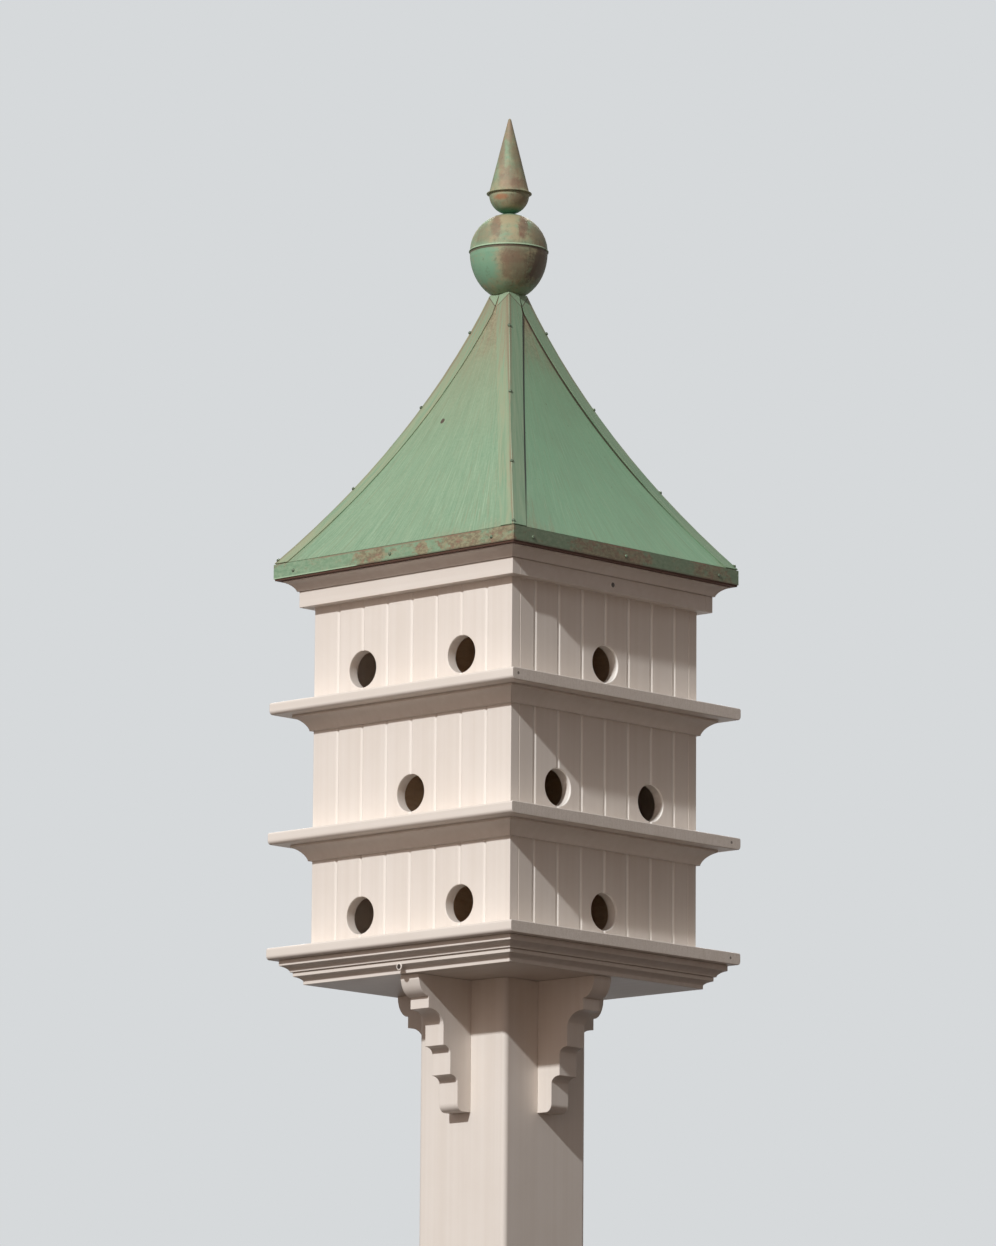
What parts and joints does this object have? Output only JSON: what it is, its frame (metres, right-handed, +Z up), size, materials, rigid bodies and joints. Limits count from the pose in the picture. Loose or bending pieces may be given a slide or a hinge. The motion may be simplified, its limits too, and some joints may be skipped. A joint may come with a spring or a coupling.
{
  "type": "purple martin birdhouse",
  "caption": "Square three-tier martin house with round entrances, ledges, a hollow-curved copper roof and finial, on a wrapped post with scroll brackets.",
  "frame": {"origin": "centre of the post's lower end, on the ground plane that the part rests on", "axes": "+Z up along the post to the finial's tip; -Y is the front face, which has two entrances on the lower and upper tiers; +X is the face to its right"},
  "size_m": [0.501, 0.501, 1.9426],
  "materials": {
    "white_pvc": "white cellular PVC board, lightly soiled",
    "patina_copper": "copper sheet with a green and brown patina",
    "tan_plywood": "bare plywood",
    "treated_timber": "rough sawn treated timber",
    "zinc_steel": "zinc plated"
  },
  "bodies": {
    "root": {"post_sleeve": "white_pvc", "bracket_front": "white_pvc", "bracket_right": "white_pvc", "bracket_back": "white_pvc", "bracket_left": "white_pvc", "base_lower_board": "white_pvc", "base_upper_board": "white_pvc", "base_shelf": "white_pvc", "middle_shelf": "white_pvc", "upper_shelf": "white_pvc", "middle_shelf_cove": "white_pvc", "upper_shelf_cove": "white_pvc", "wall_1_front": "white_pvc", "wall_1_right": "white_pvc", "wall_1_back": "white_pvc", "wall_1_left": "white_pvc", "wall_2_front": "white_pvc", "wall_2_right": "white_pvc", "wall_2_back": "white_pvc", "wall_2_left": "white_pvc", "wall_3_front": "white_pvc", "wall_3_right": "white_pvc", "wall_3_back": "white_pvc", "wall_3_left": "white_pvc", "frieze_front": "white_pvc", "frieze_right": "white_pvc", "frieze_back": "white_pvc", "frieze_left": "white_pvc", "crown_cove": "white_pvc", "roof_panel_front": "patina_copper", "roof_panel_right": "patina_copper", "roof_panel_back": "patina_copper", "roof_panel_left": "patina_copper", "hip_cap_front_right": "patina_copper", "hip_cap_back_right": "patina_copper", "hip_cap_back_left": "patina_copper", "hip_cap_front_left": "patina_copper", "eave_band_front": "patina_copper", "eave_band_right": "patina_copper", "eave_band_back": "patina_copper", "eave_band_left": "patina_copper", "finial_ball_lower": "patina_copper", "finial_ball_upper": "patina_copper", "finial_cup": "patina_copper", "finial_spire": "patina_copper", "divider_1_long": "tan_plywood", "divider_1_cross_a": "tan_plywood", "divider_1_cross_b": "tan_plywood", "divider_2_long": "tan_plywood", "divider_2_cross_a": "tan_plywood", "divider_2_cross_b": "tan_plywood", "divider_3_long": "tan_plywood", "divider_3_cross_a": "tan_plywood", "divider_3_cross_b": "tan_plywood", "roof_deck": "tan_plywood", "hip_former_a": "tan_plywood", "hip_former_b": "tan_plywood", "peak_block": "tan_plywood", "post_core": "treated_timber", "finial_rod": "zinc_steel"}
  },
  "joints": []
}
